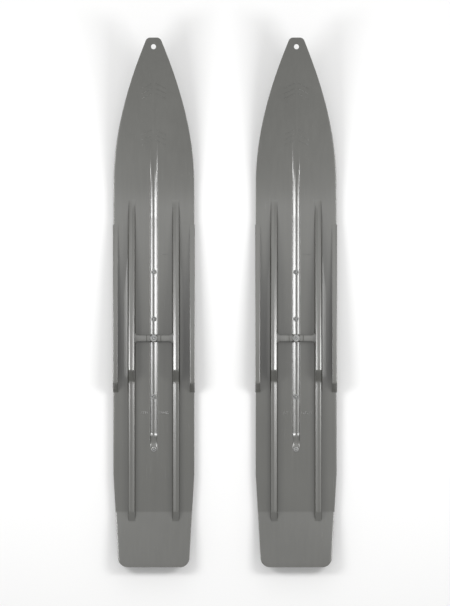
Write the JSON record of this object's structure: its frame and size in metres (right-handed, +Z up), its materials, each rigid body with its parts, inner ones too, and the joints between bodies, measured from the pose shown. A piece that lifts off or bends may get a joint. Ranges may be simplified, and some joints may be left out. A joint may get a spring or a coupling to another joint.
{
  "type": "ski pair",
  "caption": "Pair of long moulded plastic skis with upturned tips, grooved decks, wedge-shaped stringers and edge rails, a bolted cross brace and a steel runner under each keel.",
  "frame": {"origin": "on the resting plane under the runners, midway between the two skis and midway along their length", "axes": "+X to the right across both skis, +Y along the skis towards their tips, +Z up out of the decks"},
  "size_m": [0.449, 1.058, 0.1246],
  "materials": {
    "moulded_plastic": "satin mid-grey moulded polyethylene, slightly glossy, with fine scuffs",
    "runner_steel": "bare drawn steel bar, lightly scratched along its length",
    "zinced_steel": "zinc-plated steel, dull and slightly mottled"
  },
  "bodies": {
    "left_ski": {"left_ski_blade": "moulded_plastic", "left_ski_left_stringer": "moulded_plastic", "left_ski_left_rail": "moulded_plastic", "left_ski_left_stringer_screw_1": "zinced_steel", "left_ski_left_stringer_screw_2": "zinced_steel", "left_ski_left_stringer_screw_3": "zinced_steel", "left_ski_left_rail_screw_1": "zinced_steel", "left_ski_left_rail_screw_2": "zinced_steel", "left_ski_right_stringer": "moulded_plastic", "left_ski_right_rail": "moulded_plastic", "left_ski_right_stringer_screw_1": "zinced_steel", "left_ski_right_stringer_screw_2": "zinced_steel", "left_ski_right_stringer_screw_3": "zinced_steel", "left_ski_right_rail_screw_1": "zinced_steel", "left_ski_right_rail_screw_2": "zinced_steel", "left_ski_runner": "runner_steel", "left_ski_runner_screw_1": "zinced_steel", "left_ski_tee_nut_1": "zinced_steel", "left_ski_runner_screw_2": "zinced_steel", "left_ski_tee_nut_2": "zinced_steel", "left_ski_runner_screw_3": "zinced_steel", "left_ski_tee_nut_3": "zinced_steel", "left_ski_runner_screw_4": "zinced_steel", "left_ski_tee_nut_4": "zinced_steel", "left_ski_brace": "moulded_plastic", "left_ski_brace_screw": "zinced_steel", "left_ski_brace_washer": "zinced_steel", "left_ski_brace_nut": "zinced_steel"},
    "right_ski": {"right_ski_blade": "moulded_plastic", "right_ski_left_stringer": "moulded_plastic", "right_ski_left_rail": "moulded_plastic", "right_ski_left_stringer_screw_1": "zinced_steel", "right_ski_left_stringer_screw_2": "zinced_steel", "right_ski_left_stringer_screw_3": "zinced_steel", "right_ski_left_rail_screw_1": "zinced_steel", "right_ski_left_rail_screw_2": "zinced_steel", "right_ski_right_stringer": "moulded_plastic", "right_ski_right_rail": "moulded_plastic", "right_ski_right_stringer_screw_1": "zinced_steel", "right_ski_right_stringer_screw_2": "zinced_steel", "right_ski_right_stringer_screw_3": "zinced_steel", "right_ski_right_rail_screw_1": "zinced_steel", "right_ski_right_rail_screw_2": "zinced_steel", "right_ski_runner": "runner_steel", "right_ski_runner_screw_1": "zinced_steel", "right_ski_tee_nut_1": "zinced_steel", "right_ski_runner_screw_2": "zinced_steel", "right_ski_tee_nut_2": "zinced_steel", "right_ski_runner_screw_3": "zinced_steel", "right_ski_tee_nut_3": "zinced_steel", "right_ski_runner_screw_4": "zinced_steel", "right_ski_tee_nut_4": "zinced_steel", "right_ski_brace": "moulded_plastic", "right_ski_brace_screw": "zinced_steel", "right_ski_brace_washer": "zinced_steel", "right_ski_brace_nut": "zinced_steel"}
  },
  "joints": [
    {"name": "ski_spacing", "type": "slide", "parent": "left_ski", "child": "right_ski", "axis": [1, 0, 0], "range_m": [-0.1, 0.2]}
  ]
}
